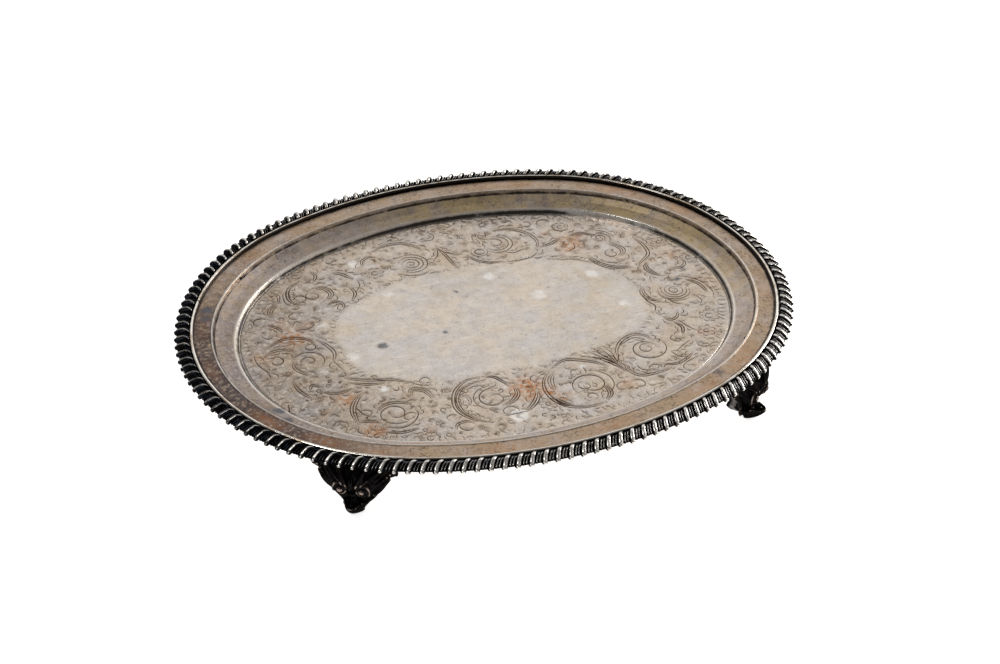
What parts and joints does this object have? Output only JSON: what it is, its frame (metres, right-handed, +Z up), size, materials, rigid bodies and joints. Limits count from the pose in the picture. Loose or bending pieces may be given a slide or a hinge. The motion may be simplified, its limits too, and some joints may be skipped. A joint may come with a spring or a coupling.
{
  "type": "footed oval salver",
  "caption": "Oval serving tray with a sunk, scroll-engraved well, a plain flange, a skew gadroon border and scroll bracket feet.",
  "frame": {"origin": "on the table plane under the middle of the tray", "axes": "+X along the long way of the oval, +Y across it, +Z up out of the well"},
  "size_m": [0.3462, 0.2868, 0.0355],
  "materials": {
    "plated_sheet": "aged silver plate, worn and lightly tarnished",
    "plated_wire": "rubbed silver",
    "gadroon_silver": "bright lobes with dark oxide between them",
    "soft_solder": "dull grey soft solder",
    "foot_metal": "dark oxidised silver plate"
  },
  "bodies": {
    "root": {"tray_plate": "plated_sheet", "fillet_wire": "plated_wire", "gadroon_mount_1": "gadroon_silver", "gadroon_mount_2": "gadroon_silver", "gadroon_mount_3": "gadroon_silver", "gadroon_mount_4": "gadroon_silver", "gadroon_mount_5": "gadroon_silver", "gadroon_mount_6": "gadroon_silver", "mount_fill_1": "soft_solder", "mount_fill_2": "soft_solder", "mount_fill_3": "soft_solder", "mount_fill_4": "soft_solder", "mount_fill_5": "soft_solder", "mount_fill_6": "soft_solder", "foot_1_front": "foot_metal", "foot_1_fill": "soft_solder", "foot_1_back": "foot_metal", "foot_1_toe": "foot_metal", "foot_2_front": "foot_metal", "foot_2_fill": "soft_solder", "foot_2_back": "foot_metal", "foot_2_toe": "foot_metal", "foot_3_front": "foot_metal", "foot_3_fill": "soft_solder", "foot_3_back": "foot_metal", "foot_3_toe": "foot_metal", "foot_4_front": "foot_metal", "foot_4_fill": "soft_solder", "foot_4_back": "foot_metal", "foot_4_toe": "foot_metal"}
  },
  "joints": []
}
